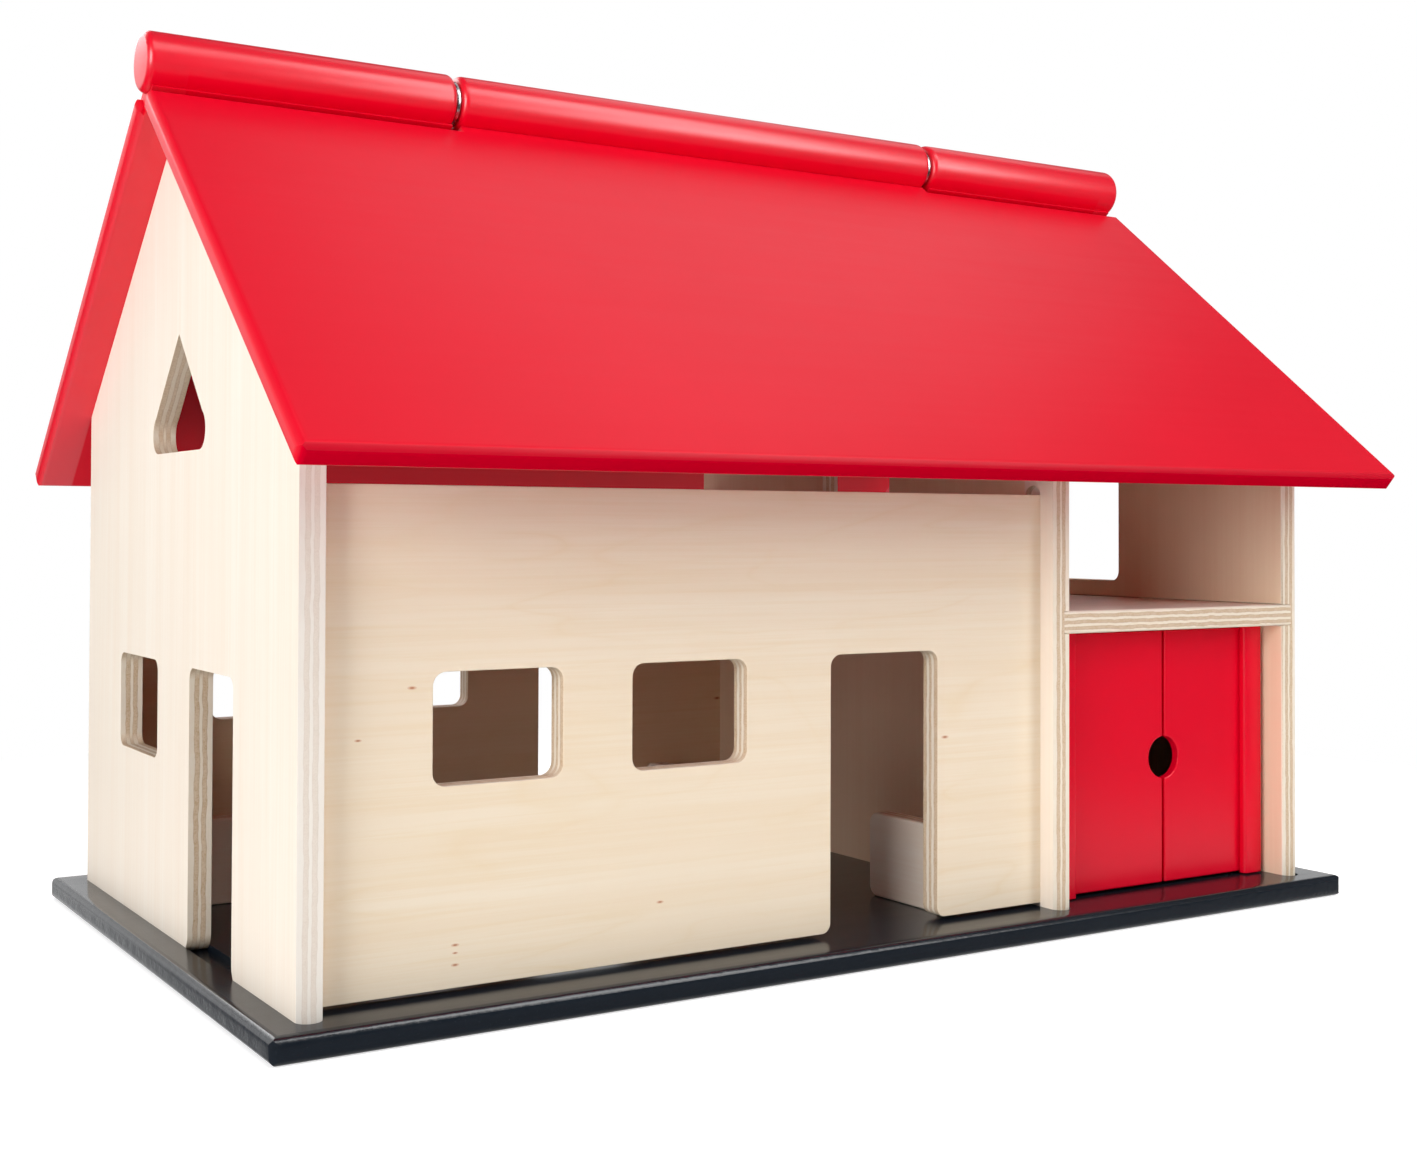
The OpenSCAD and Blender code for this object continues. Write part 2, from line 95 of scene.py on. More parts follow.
# %% Camera
PHOTO_W, PHOTO_H = 1417, 1149
FOCAL_PX = 1795.454
CENTRE_PX = (710.599, 495.825)
CAMERA_HOUSE_MM = (-247.892, -701.021, 199.848)
YAW, PITCH, ROLL = (math.radians(a) for a in (32.3817, 0.9979, 0.1886))
SENSOR_MM = 36.0


def look_matrix(place, yaw, pitch, roll):
    """Camera axes: ahead = (sin yaw cos pitch, cos yaw cos pitch, sin pitch), level right =
    (cos yaw, -sin yaw, 0), then right and up are turned by roll about ahead. The camera looks along -z."""
    ahead = np.array([math.sin(yaw) * math.cos(pitch), math.cos(yaw) * math.cos(pitch), math.sin(pitch)])
    level = np.array([math.cos(yaw), -math.sin(yaw), 0.0])
    up = np.cross(level, ahead)
    m = np.eye(4)
    m[:3, 0] = math.cos(roll) * level + math.sin(roll) * up
    m[:3, 1] = -math.sin(roll) * level + math.cos(roll) * up
    m[:3, 2], m[:3, 3] = -ahead, place
    return Matrix(m.tolist())


camera_data = bpy.data.cameras.new("front_left_view")
camera_data.sensor_width = SENSOR_MM
camera_data.sensor_fit = "HORIZONTAL"
camera_data.lens = FOCAL_PX * SENSOR_MM / PHOTO_W
camera_data.shift_x = (PHOTO_W / 2 - CENTRE_PX[0]) / PHOTO_W
camera_data.shift_y = (CENTRE_PX[1] - PHOTO_H / 2) / PHOTO_W
camera_data.clip_start = 0.02
camera_data.clip_end = 60.0
camera = bpy.data.objects.new("front_left_view", camera_data)
camera.matrix_world = look_matrix((HOUSE + CAMERA_HOUSE_MM) * MM, YAW, PITCH, ROLL)
bpy.context.scene.collection.objects.link(camera)
bpy.context.scene.camera = camera
shift = (round(camera_data.shift_x, 4), round(camera_data.shift_y, 4))
print("lens", round(camera_data.lens, 2), "mm, shift", shift)

# %% [markdown]
# ## Nodes and colours
#
# Every finish below is a small network of nodes. One function turns the hex value of a paint or a
# wood, which is how a colour is seen on a screen, into the linear value that light is reckoned in,
# and one function adds a node with its settings and its links. A pattern is sized by the width of
# its features on the real thing, in millimetres.

# %% Colour and node helpers


def linear(code):
    """Each channel c of the hex code becomes c / 12.92 below 0.04045 and ((c + 0.055) / 1.055) ** 2.4
    above."""
    c = np.array([int(code[i:i + 2], 16) for i in (0, 2, 4)]) / 255.0
    c = np.where(c <= 0.04045, c / 12.92, ((c + 0.055) / 1.055) ** 2.4)
    return (*map(float, c), 1.0)


def grey(v):
    """A linear grey, for ramps that carry a value."""
    return (v, v, v, 1.0)


def per_metre(*sizes_mm):
    """How often features of these sizes fit into a metre."""
    return tuple(1 / (size * MM) for size in sizes_mm)


def drawn_out(length_mm, width_mm, axis):
    """Scales of a pattern whose features are length_mm long on one axis and width_mm wide on the others."""
    sizes = [width_mm] * 3
    sizes[axis] = length_mm
    return per_metre(*sizes)


def add(tree, kind, inputs=None, ramp=None, **settings):
    """Adds one node. settings are its properties. inputs maps a socket's name or number to a value, to one
    output of a node, or to a node whose first live output is linked. ramp lists (place, colour) stops."""
    n = tree.nodes.new("ShaderNode" + kind)
    for key, value in settings.items():
        setattr(n, key, value)
    if ramp:
        stops = n.color_ramp.elements
        while len(stops) < len(ramp):
            stops.new(0.5)
        for stop, (place, colour) in zip(stops, ramp):
            stop.position, stop.color = place, colour
    for key, value in (inputs or {}).items():
        socket = n.inputs[key] if isinstance(key, int) else next(
            s for s in n.inputs if s.enabled and s.name == key)
        if isinstance(value, bpy.types.Node):
            value = next(s for s in value.outputs if s.enabled)
        if isinstance(value, bpy.types.NodeSocket):
            tree.links.new(value, socket)
        else:
            socket.default_value = value
    return n


def new_tree(owner):
    """Switches nodes on for a material or a world and empties its tree."""
    owner.use_nodes = True
    owner.node_tree.nodes.clear()
    return owner.node_tree


print("roof red in linear light", [round(c, 3) for c in linear("EC0028")])

# %% [markdown]
# ## Birch-faced plywood under clear varnish
#
# The walls are 11.5 mm plywood of five plies. Colour is worked out in the solid: the place
# through the thickness picks the ply, so the layers show on every cut edge, round every window
# and on the broken arrises, exactly where a real board shows them. A ply whose grain runs into
# the cut is end grain, which drinks the varnish and looks browner than one that lies along it.
# Face veneers are peeled from the log, so their rings make long wavy bands, drawn here as the
# contour lines of a noise that is stretched along the grain. The faces that look into the barn
# are darkened and browned by a painted shade, and the front edge of the left gable is painted paler
# as painted light.

# %% Plywood
AXIS = {"X": 0, "Y": 1, "Z": 2}
FIVE_PLIES = (0.24, 0.43, 0.57, 0.76)  # where one ply ends and the next starts, through the board
SEVEN_PLIES = (0.15, 0.29, 0.43, 0.57, 0.71, 0.85)
STEP, GLUE_LINE = 0.012, 0.02  # half the width of a step between plies and of a line of glue
LONG_GRAIN, END_GRAIN, PORES, GLUE = "F3E9D8", "DBC4A5", "BE9C74", "B08A60"
# the second colour is painted light: a paler colour for the front edge of the left gable
WARM_EDGE, EDGE_LIGHT_COLOUR = "EDDDC6", "E8E4E0"
PALE_VENEER = ("F4E7D7", "F8EFE2", "F0DFCC")  # body, early wood and line of a veneer
YELLOW_VENEER = ("EFDEC5", "F3E6D1", "E8D0A8")
INNER_PAINTED_SHADE = (1.0, 0.87, 0.73, 1.0)  # painted shade on the sides inside the barn, channel by channel
KNOT, KNOT_HEART = "C98C5E", "A4583A"
EDGE_LIGHT_DEPTH = 4.0  # how far behind the front of the house the painted light on the front edge reaches, in mm


def plywood(name, node, through, grain, seed, knots=(), veneer=PALE_VENEER, figure=0.0, limits=FIVE_PLIES,
            inner=(), inner_from=-400.0, edge_light=0.0):
    """Varnished plywood for one board: through is the axis of its thickness, grain that of the face veneer.
    knots are (place along the grain, place across, length) in mm, figure is the strength of the peeled
    pattern, inner lists the sides, -1 or 1, that look into the barn and get a painted shade, inner_from is
    the y in mm behind which they do, and edge_light is how strongly the edge that looks to the front is
    painted paler as painted light."""
    m = bpy.data.materials.new(name)
    t = new_tree(m)
    g, d = AXIS[grain], AXIS[through]
    a = 3 - g - d
    low, high = box_mm(node)
    thick = high[d] - low[d]
    place = add(t, "TexCoord").outputs["Object"]
    xyz = add(t, "SeparateXYZ", {0: place}).outputs
    facing = add(t, "SeparateXYZ", {0: add(t, "NewGeometry").outputs["Normal"]}).outputs

    # place through the board from 0 to 1, a little wavy as real plies are
    warped = add(t, "Mapping", {"Vector": place, "Location": (seed,) * 3,
                                "Scale": per_metre(10.5, 10.5, 10.5)})
    wave = add(t, "TexNoise", {"Vector": warped, "Scale": 1.0, "Detail": 3.0, "Roughness": 0.6})
    wavy = add(t, "Math", {0: wave, 1: 0.17, 2: -0.085}, operation="MULTIPLY_ADD")
    depth = add(t, "Math", {0: xyz[d], 1: 1 / (thick * MM), 2: -low[d] / thick}, operation="MULTIPLY_ADD")
    depth = add(t, "Math", {0: depth, 1: wavy}, operation="ADD")

    # every second ply runs across, so a cut shows end grain there and long grain in the others
    bounds = [(0.0, grey(0))]
    lines = [(0.0, grey(0))]
    for i, u in enumerate(limits):
        bounds += [(u - STEP, grey(i % 2)), (u + STEP, grey((i + 1) % 2))]
        lines += [(u - GLUE_LINE, grey(0)), (u, grey(1)), (u + GLUE_LINE, grey(0))]
    crossing = add(t, "ValToRGB", {0: depth}, ramp=bounds)
    glue = add(t, "ValToRGB", {0: depth}, ramp=lines)
    ends = add(t, "Math", {0: facing[g]}, operation="ABSOLUTE")
    end_grain = add(t, "Math", {0: crossing, 1: ends}, operation="SUBTRACT")
    end_grain = add(t, "Math", {0: end_grain}, operation="ABSOLUTE")

    # fibres of two widths along the grain, and soft clouds, tint the face veneer
    fine = add(t, "Mapping", {"Vector": place, "Location": (seed, 0, seed),
                              "Scale": drawn_out(111, 1.923, g)})
    fibres = add(t, "TexNoise", {"Vector": fine, "Scale": 1.0, "Detail": 4.0, "Roughness": 0.65})
    broad = add(t, "Mapping", {"Vector": place, "Location": (0, seed, seed),
                               "Scale": drawn_out(455, 11.76, g)})
    bands = add(t, "TexNoise", {"Vector": broad, "Scale": 1.0, "Detail": 3.0, "Roughness": 0.55})
    soft = add(t, "Mapping", {"Vector": place, "Location": (seed * 2, seed, 0),
                              "Scale": per_metre(143, 143, 143)})
    clouds = add(t, "TexNoise", {"Vector": soft, "Scale": 1.0, "Detail": 3.0})
    body, early, line = (linear(c) for c in veneer)
    share = add(t, "MapRange", {"Value": bands, "From Min": 0.3125, "From Max": 0.7292})
    colour = add(t, "Mix", {"Factor": share, "A": body, "B": early}, data_type="RGBA")
    share = add(t, "MapRange", {"Value": fibres, "From Min": 0.431, "From Max": 1.2})
    colour = add(t, "Mix", {"Factor": share, "A": colour, "B": line}, data_type="RGBA")
    share = add(t, "MapRange", {"Value": clouds, "From Min": 0.393, "From Max": 1.107})
    colour = add(t, "Mix", {"Factor": share, "A": colour, "B": body}, data_type="RGBA")
    if figure:
        # peeled face: thin contour lines of a noise drawn out along the grain, which come and go
        slow = add(t, "Mapping", {"Vector": place, "Location": (seed * 3.1, seed * 1.7, seed * 0.9),
                                  "Scale": drawn_out(556, 90.9, g)})
        rings = add(t, "TexNoise", {"Vector": slow, "Scale": 1.0, "Detail": 3.0, "Distortion": 0.6})
        contour = add(t, "Math", {0: rings, 1: 21.0}, operation="MULTIPLY")
        contour = add(t, "Math", {0: contour, 1: 1.0}, operation="PINGPONG")
        contour = add(t, "Math", {0: contour, 1: 9.0}, operation="POWER")
        patches = add(t, "TexNoise", {"Vector": place, "Scale": per_metre(62.5)[0], "Detail": 2.0})
        shown = add(t, "MapRange", {"Value": patches, "From Min": 0.3333, "From Max": 0.6667,
                                    "To Max": figure})
        share = add(t, "Math", {0: contour, 1: shown}, operation="MULTIPLY")
        colour = add(t, "Mix", {"Factor": share, "A": colour, "B": line}, data_type="RGBA")

    # cut edges: long grain is pale, end grain drinks the varnish and shows its pores, glue is darkest
    speck = add(t, "TexNoise", {"Vector": place, "Scale": per_metre(0.77)[0], "Detail": 2.0})
    sawn = add(t, "Mapping", {"Vector": place, "Location": (0, seed, 0),
                              "Scale": per_metre(4.17, 4.17, 4.17)})
    streak = add(t, "TexNoise", {"Vector": sawn, "Scale": 1.0, "Detail": 3.0})
    edge = add(t, "Mix", {"Factor": end_grain, "A": linear(LONG_GRAIN), "B": linear(END_GRAIN)},
               data_type="RGBA")
    pores = add(t, "MapRange", {"Value": speck, "From Min": 0.409, "From Max": 0.864})
    pores = add(t, "Math", {0: end_grain, 1: pores}, operation="MULTIPLY")
    edge = add(t, "Mix", {"Factor": pores, "A": edge, "B": linear(PORES)}, data_type="RGBA")
    share = add(t, "MapRange", {"Value": streak, "From Min": 0.3333, "From Max": 1.4444})
    edge = add(t, "Mix", {"Factor": share, "A": edge, "B": linear(WARM_EDGE)}, data_type="RGBA")
    share = add(t, "Math", {0: glue, 1: 0.5}, operation="MULTIPLY")
    edge = add(t, "Mix", {"Factor": share, "A": edge, "B": linear(GLUE)}, data_type="RGBA")
    # painted light: the front edge of the left gable is painted paler, standing in for the light on its
    # rounded arris
    if edge_light:
        front = (HOUSE[1] + EDGE_LIGHT_DEPTH) * MM
        share = add(t, "MapRange", {"Value": xyz[1], "From Min": front, "From Max": front - 2 * MM,
                                    "To Max": edge_light})
        edge = add(t, "Mix", {"Factor": share, "A": edge, "B": linear(EDGE_LIGHT_COLOUR)}, data_type="RGBA")
    flat = add(t, "Math", {0: facing[d]}, operation="ABSOLUTE")
    face = add(t, "MapRange", {"Value": flat, "From Min": 0.68, "From Max": 0.88})
    colour = add(t, "Mix", {"Factor": face, "A": edge, "B": colour}, data_type="RGBA")

    # painted shade: the sides that look into the barn are darkened and browned, where shade falls inside
    behind = add(t, "MapRange", {"Value": xyz[1], "From Min": inner_from * MM,
                                 "From Max": (inner_from + 1) * MM})
    for side in inner:
        look = add(t, "MapRange", {"Value": facing[d], "From Min": 0.875 * side, "From Max": side})
        look = add(t, "Math", {0: look, 1: behind}, operation="MULTIPLY")
        colour = add(t, "Mix", {"Factor": look, "A": colour, "B": INNER_PAINTED_SHADE}, data_type="RGBA",
                     blend_type="MULTIPLY")

    # pin knots: small brown eyes with a redder heart, longer along the grain
    for along, over, size in knots:
        half_long, half_wide = size * 0.55, size * 0.2
        u = add(t, "Math", {0: xyz[g], 1: 1 / (half_long * MM), 2: -along / half_long},
                operation="MULTIPLY_ADD")
        v = add(t, "Math", {0: xyz[a], 1: 1 / (half_wide * MM), 2: -over / half_wide},
                operation="MULTIPLY_ADD")
        u = add(t, "Math", {0: u, 1: u}, operation="MULTIPLY")
        away = add(t, "Math", {0: v, 1: v, 2: u}, operation="MULTIPLY_ADD")
        eye = add(t, "Math", {0: 1.0, 1: away}, operation="SUBTRACT", use_clamp=True)
        share = add(t, "Math", {0: eye, 1: 0.8}, operation="MULTIPLY")
        colour = add(t, "Mix", {"Factor": share, "A": colour, "B": linear(KNOT)}, data_type="RGBA")
        share = add(t, "MapRange", {"Value": eye, "From Min": 0.75, "From Max": 1.0625})
        colour = add(t, "Mix", {"Factor": share, "A": colour, "B": linear(KNOT_HEART)}, data_type="RGBA")

    # satin varnish: the fibres break the sheen, and end grain stays a little raised
    rough = add(t, "Math", {0: fibres, 1: 0.18, 2: 0.44}, operation="MULTIPLY_ADD")
    raised = add(t, "Bump", {"Height": fibres, "Strength": 0.3, "Distance": 0.1 * MM})
    raised = add(t, "Bump", {"Height": end_grain, "Strength": 0.25, "Distance": 0.08 * MM,
                             "Normal": raised})
    shader = add(t, "BsdfPrincipled", {"Base Color": colour, "Roughness": rough, "IOR": 1.45,
                                       "Specular IOR Level": 0.25, "Normal": raised})
    add(t, "OutputMaterial", {"Surface": shader})
    return m


print("plies", len(FIVE_PLIES) + 1, "in the walls and", len(SEVEN_PLIES) + 1, "in the loft floor")

# %% [markdown]
# ## Satin red lacquer
#
# The roof, the ridge bars and the doors are sprayed with a satin lacquer. A sprayed coat is never
# quite flat: it has a fine orange peel, and the grain under it telegraphs through as long faint
# lines. Both go into the bump, and the roughness is mottled a little, so that the sheen breaks up.
# The edge at the eaves, which looks down to the front, is painted a deeper red with less sheen, a painted
# shade. Between the gables the underside was only misted over, and outside them it has the full coat.

# %% Red lacquer
# the deeper red painted on the edge at the eaves as painted shade
EAVE_SHADE_RED = "C80022"
MISTED = 0.1  # specular level of the thin coat under the roof


def red_lacquer(name, grain, seed, colour="EC0028", deep="E40024", rough=0.38, specular=0.35, telegraph=0.1,
                eave=(0, 0, 0), below=0.3):
    """grain is the axis along which the grain under the coat runs, telegraph is how clearly it shows,
    eave is the direction in which the edge looks that is painted a deeper red with less sheen as painted
    shade, and below is the sheen of the underside beyond the gables."""
    m = bpy.data.materials.new(name)
    t = new_tree(m)
    place = add(t, "TexCoord").outputs["Object"]
    normal = add(t, "NewGeometry").outputs["Normal"]
    lines = add(t, "Mapping", {"Vector": place, "Location": (seed, seed * 2, seed),
                               "Scale": drawn_out(200, 6.25, AXIS[grain])})
    streaks = add(t, "TexNoise", {"Vector": lines, "Scale": 1.0, "Detail": 4.0, "Roughness": 0.6})
    peel = add(t, "TexNoise", {"Vector": place, "Scale": per_metre(2.38)[0], "Detail": 2.0})
    cloud = add(t, "TexNoise", {"Vector": place, "Scale": per_metre(111)[0], "Detail": 3.0})
    mottle = add(t, "TexNoise", {"Vector": place, "Scale": per_metre(18.2)[0], "Detail": 3.0})

    # two reds that drift into each other, and a painted shade: a deeper red on the edge at the eaves
    share = add(t, "MapRange", {"Value": cloud, "From Min": 0.286, "From Max": 1.0})
    tint = add(t, "Mix", {"Factor": share, "A": linear(deep), "B": linear(colour)}, data_type="RGBA")
    towards = add(t, "VectorMath", {0: normal, 1: eave}, operation="DOT_PRODUCT").outputs["Value"]
    coat_sunk_and_eave_shade = add(t, "MapRange", {"Value": towards, "From Min": 0.467, "From Max": 0.8})
    tint = add(t, "Mix", {"Factor": coat_sunk_and_eave_shade, "A": tint, "B": linear(EAVE_SHADE_RED)}, data_type="RGBA")

    # roughness round its middle value, moved by the grain and by the mottling
    uneven = add(t, "Math", {0: streaks, 1: telegraph, 2: rough - 0.02 - telegraph / 2},
                 operation="MULTIPLY_ADD")
    uneven = add(t, "Math", {0: mottle, 1: 0.04, 2: uneven}, operation="MULTIPLY_ADD")

    # sheen of the top, of the underside within and beyond the gables, and of the eaves
    wide = add(t, "SeparateXYZ", {0: place}).outputs[0]
    wide = add(t, "Math", {0: wide}, operation="ABSOLUTE")
    gable_face = -HOUSE[0] * MM
    coat = add(t, "MapRange", {"Value": wide, "From Min": gable_face - 0.5 * MM,
                               "From Max": gable_face + 0.5 * MM, "To Min": MISTED - specular,
                               "To Max": below - specular})
    down = add(t, "SeparateXYZ", {0: normal}).outputs[2]
    down = add(t, "MapRange", {"Value": down, "From Min": -0.25, "From Max": -0.5})
    sheen = add(t, "Math", {0: down, 1: coat, 2: specular}, operation="MULTIPLY_ADD")
    sheen = add(t, "Math", {0: coat_sunk_and_eave_shade, 1: -0.2, 2: sheen}, operation="MULTIPLY_ADD")

    uneven_coat = add(t, "Bump", {"Height": streaks, "Strength": telegraph, "Distance": 0.1 * MM})
    uneven_coat = add(t, "Bump", {"Height": peel, "Strength": 0.12, "Distance": 0.06 * MM,
                                  "Normal": uneven_coat})
    shader = add(t, "BsdfPrincipled", {"Base Color": tint, "Roughness": uneven, "IOR": 1.5,
                                       "Specular IOR Level": sheen, "Normal": uneven_coat})
    add(t, "OutputMaterial", {"Surface": shader})
    return m


print("red lacquer ready")

# %% [markdown]
# ## Black lacquer on the base board
#
# The board has the same kind of coat in a blue black, with a higher gloss: the walls mirror in it,
# blurred. Its routed edges are end and cross grain, where the coat sinks in and looks lumpy and
# dull, while the rounding above them catches a bright uneven line.

# %% Black lacquer


def black_lacquer(name):
    """Blue black lacquer with a glossy top, a bright lumpy arris and dull sides."""
    m = bpy.data.materials.new(name)
    t = new_tree(m)
    place = add(t, "TexCoord").outputs["Object"]
    lines = add(t, "Mapping", {"Vector": place, "Scale": drawn_out(111, 3.33, AXIS["X"])})
    streaks = add(t, "TexNoise", {"Vector": lines, "Scale": 1.0, "Detail": 4.0, "Roughness": 0.6})
    coat_sunk_and_eave_shade = add(t, "Mapping", {"Vector": place, "Scale": drawn_out(6.25, 9.09, AXIS["Z"])})
    lumps = add(t, "TexNoise", {"Vector": coat_sunk_and_eave_shade, "Scale": 1.0, "Detail": 4.0, "Roughness": 0.65})
    dust = add(t, "TexNoise", {"Vector": place, "Scale": per_metre(0.91)[0], "Detail": 2.0})
    up = add(t, "SeparateXYZ", {0: add(t, "NewGeometry").outputs["Normal"]}).outputs[2]
    base = add(t, "Mix", {"Factor": streaks, "A": linear("12171D"), "B": linear("1A212A")},
               data_type="RGBA")
    share = add(t, "MapRange", {"Value": dust, "From Min": 0.6875, "From Max": 0.9375})
    base = add(t, "Mix", {"Factor": share, "A": base, "B": linear("3C444D")}, data_type="RGBA")
    rough = add(t, "Math", {0: streaks, 1: 0.12, 2: 0.13}, operation="MULTIPLY_ADD")
    shine = add(t, "ValToRGB", {0: up}, ramp=[(0.0, grey(0.08)), (0.3, grey(0.1)), (0.65, grey(0.75)),
                                              (0.9, grey(0.6)), (1.0, grey(0.28))])
    side = add(t, "Math", {0: up}, operation="ABSOLUTE")
    side = add(t, "Math", {0: 1.0, 1: side}, operation="SUBTRACT", use_clamp=True)
    lumps = add(t, "Math", {0: lumps, 1: side}, operation="MULTIPLY")
    coat = add(t, "Bump", {"Height": streaks, "Strength": 0.12, "Distance": 0.06 * MM})
    coat = add(t, "Bump", {"Height": lumps, "Strength": 0.7, "Distance": 0.9 * MM, "Normal": coat})
    shader = add(t, "BsdfPrincipled", {"Base Color": base, "Roughness": rough, "IOR": 1.5,
                                       "Specular IOR Level": shine, "Normal": coat})
    add(t, "OutputMaterial", {"Surface": shader})
    return m


print("black lacquer ready")

# %% [markdown]
# ## Bright zinc on steel, and bare beech
#
# Washers, rod, pins and screws are zinc plated steel: a metal with its default IOR, a pale
# colour and turning marks round its axis. The dowels under the rear roof board are bare beech,
# told from birch by short dark flecks.

# %% Steel and beech


def zinc_steel(name):
    """Zinc plated steel, hazy, with fine marks across the ridge from turning."""
    m = bpy.data.materials.new(name)
    t = new_tree(m)
    place = add(t, "TexCoord").outputs["Object"]
    haze = add(t, "TexNoise", {"Vector": place, "Scale": per_metre(1.43)[0], "Detail": 3.0})
    colour = add(t, "Mix", {"Factor": haze, "A": linear("B7BABD"), "B": linear("D9DBDD")},
                 data_type="RGBA")
    rough = add(t, "Math", {0: haze, 1: 0.15, 2: 0.18}, operation="MULTIPLY_ADD")
    cuts = add(t, "Mapping", {"Vector": place, "Scale": drawn_out(0.556, 3.33, AXIS["X"])})
    marks = add(t, "TexNoise", {"Vector": cuts, "Scale": 1.0, "Detail": 3.0})
    turning = add(t, "Bump", {"Height": marks, "Strength": 0.1, "Distance": 0.05 * MM})
    shader = add(t, "BsdfPrincipled", {"Base Color": colour, "Roughness": rough, "Metallic": 1.0,
                                       "Normal": turning})
    add(t, "OutputMaterial", {"Surface": shader})
    return m


def bare_beech(name):
    """Unfinished beech with the short flecks of its rays."""
    m = bpy.data.materials.new(name)
    t = new_tree(m)
    place = add(t, "TexCoord").outputs["Object"]
    rays = add(t, "Mapping", {"Vector": place, "Scale": drawn_out(6.25, 1.11, AXIS["Z"])})
    flecks = add(t, "TexNoise", {"Vector": rays, "Scale": 1.0, "Detail": 2.0})
    share = add(t, "MapRange", {"Value": flecks, "From Min": 0.45, "From Max": 0.95})
    colour = add(t, "Mix", {"Factor": share, "A": linear("DDBF95"), "B": linear("A87A4C")},
                 data_type="RGBA")
    grain = add(t, "Bump", {"Height": flecks, "Strength": 0.2, "Distance": 0.1 * MM})
    shader = add(t, "BsdfPrincipled", {"Base Color": colour, "Roughness": 0.6, "Normal": grain})
    add(t, "OutputMaterial", {"Surface": shader})
    return m


print("steel and beech ready")

# %% [markdown]
# ## Breaking the arrises
#
# No edge of a toy is left sharp. A sanded board could be modelled again with a rounding swept
# round its outline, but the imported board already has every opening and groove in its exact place,
# so a copy of its mesh is merged, its flat faces are joined, and a Bevel modifier rounds the edges
# that a sander reaches, by a weight for each edge. The original stays in the file as the hidden
# collision shape.

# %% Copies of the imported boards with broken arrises
BODY_OF = {node: body for body, names in frame["record"]["behaviour"]["bodies"].items() for node in names}
WIDEST = 3.0  # the radius in mm that a bevel weight of 1 stands for
MERGE = 2e-6  # points nearer than this are one point, in metres
FLAT = math.radians(0.8)  # faces that differ by less are one flat face
SHARP = math.radians(35.0)  # faces that differ by more meet in an arris


def broken(node, name, material, radius, segments=4):
    """Copies a node's mesh, merges it, joins coplanar faces and gives each sharp edge a bevel of
    radius(mid, along, normals) in mm, where mid and along are the middle and the direction of the edge."""
    mesh = bpy.data.objects[node].data.copy()
    mesh.name = name
    b = bmesh.new()
    b.from_mesh(mesh)
    bmesh.ops.remove_doubles(b, verts=b.verts, dist=MERGE)
    bmesh.ops.dissolve_limit(b, angle_limit=FLAT, verts=b.verts, edges=b.edges)
    weight = b.edges.layers.float.new("bevel_weight_edge")
    count = 0
    for e in b.edges:
        if len(e.link_faces) != 2:
            continue
        n1, n2 = (f.normal for f in e.link_faces)
        if n1.angle(n2, 0.0) < SHARP or not e.is_convex:
            continue
        mid = (e.verts[0].co + e.verts[1].co) / 2 / MM
        along = (e.verts[1].co - e.verts[0].co).normalized()
        r = radius(mid, along, (n1, n2))
        if r > 0:
            e[weight] = r / WIDEST
            count += 1
    for f in b.faces:
        f.smooth = True
    b.to_mesh(mesh)
    b.free()
    if "custom_normal" in mesh.attributes:
        mesh.attributes.remove(mesh.attributes["custom_normal"])
    mesh.set_sharp_from_angle(angle=SHARP)
    mesh.materials.clear()
    mesh.materials.append(material)
    piece = bpy.data.objects.new(name, mesh)
    bpy.context.scene.collection.objects.link(piece)
    bevel = piece.modifiers.new("arris", "BEVEL")
    bevel.limit_method, bevel.width, bevel.segments = "WEIGHT", WIDEST * MM, segments
    bevel.offset_type, bevel.miter_outer, bevel.use_clamp_overlap = "OFFSET", "MITER_ARC", True
    bevel.harden_normals = True
    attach(piece, BODY_OF[node])
    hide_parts(node)
    print(name, len(mesh.vertices), "vertices,", count, "broken edges")
    return piece


def evenly(r):
    """The same break on every edge."""
    return lambda mid, along, normals: r


# %% [markdown]
# ## Walls, loft and stall boards
#
# Where a board stands in a groove or a housing its edges stay sharp, since the sander comes after
# the saw but before the glue. The long front and back edges of the cross walls get the widest
# break, because hands meet them first, and the windows and doorways a smaller one. The small
# brown knots lie where they lie on the real front panel.

# %% Walls
TOUCH = 0.2  # two places count as the same within this, in mm
CLEAR = 1.5  # edges of grooves lie within this of the panel that they hold, in mm
SUNK = 0.5  # more than this below the base board's top an edge stands in a groove, in mm
LONG_EDGE, FRONT_CORNER, OPENING_EDGE, PANEL_EDGE = 2.0, 2.8, 1.3, 1.2  # radii of the breaks, in mm
ALONG, SQUARE_ON = 0.9, 0.98  # cosines from which an edge runs along an axis, or a face looks along it


def upright_board(near, far):
    """Arrises of a cross wall between near and far along the ridge."""
    def radius(mid, along, normals):
        x, y, z = np.array(mid) - HOUSE
        if z < -SUNK or min(abs(x - near), abs(x - far)) > TOUCH:
            return 0.0
        if y < TOUCH or y > DEPTH - TOUCH:
            return FRONT_CORNER if x < TOUCH else LONG_EDGE
        beside_panel = y < PANEL_FRONT + WALL + CLEAR or y > PANEL_BACK - CLEAR
        upright_corner = abs(normals[0][1]) > SQUARE_ON and abs(normals[1][0]) > SQUARE_ON
        if upright_corner and beside_panel and z < PANEL_TOP + SUNK:
            return 0.0
        return OPENING_EDGE
    return radius


def panel_board(front):
    """Arrises of a panel between the walls whose front face is at this y: its free outline and its
    openings."""
    def radius(mid, along, normals):
        x, y, z = np.array(mid) - HOUSE
        if min(abs(y - front), abs(y - front - WALL)) > TOUCH:
            return 0.0
        housed = x < WALL + TOUCH or x > RIGHT - TOUCH or abs(x - BAY - WALL / 2) < WALL / 2 + TOUCH
        if abs(along[2]) > ALONG and z < PANEL_TOP - CLEAR and housed:
            return 0.0
        return PANEL_EDGE
    return radius


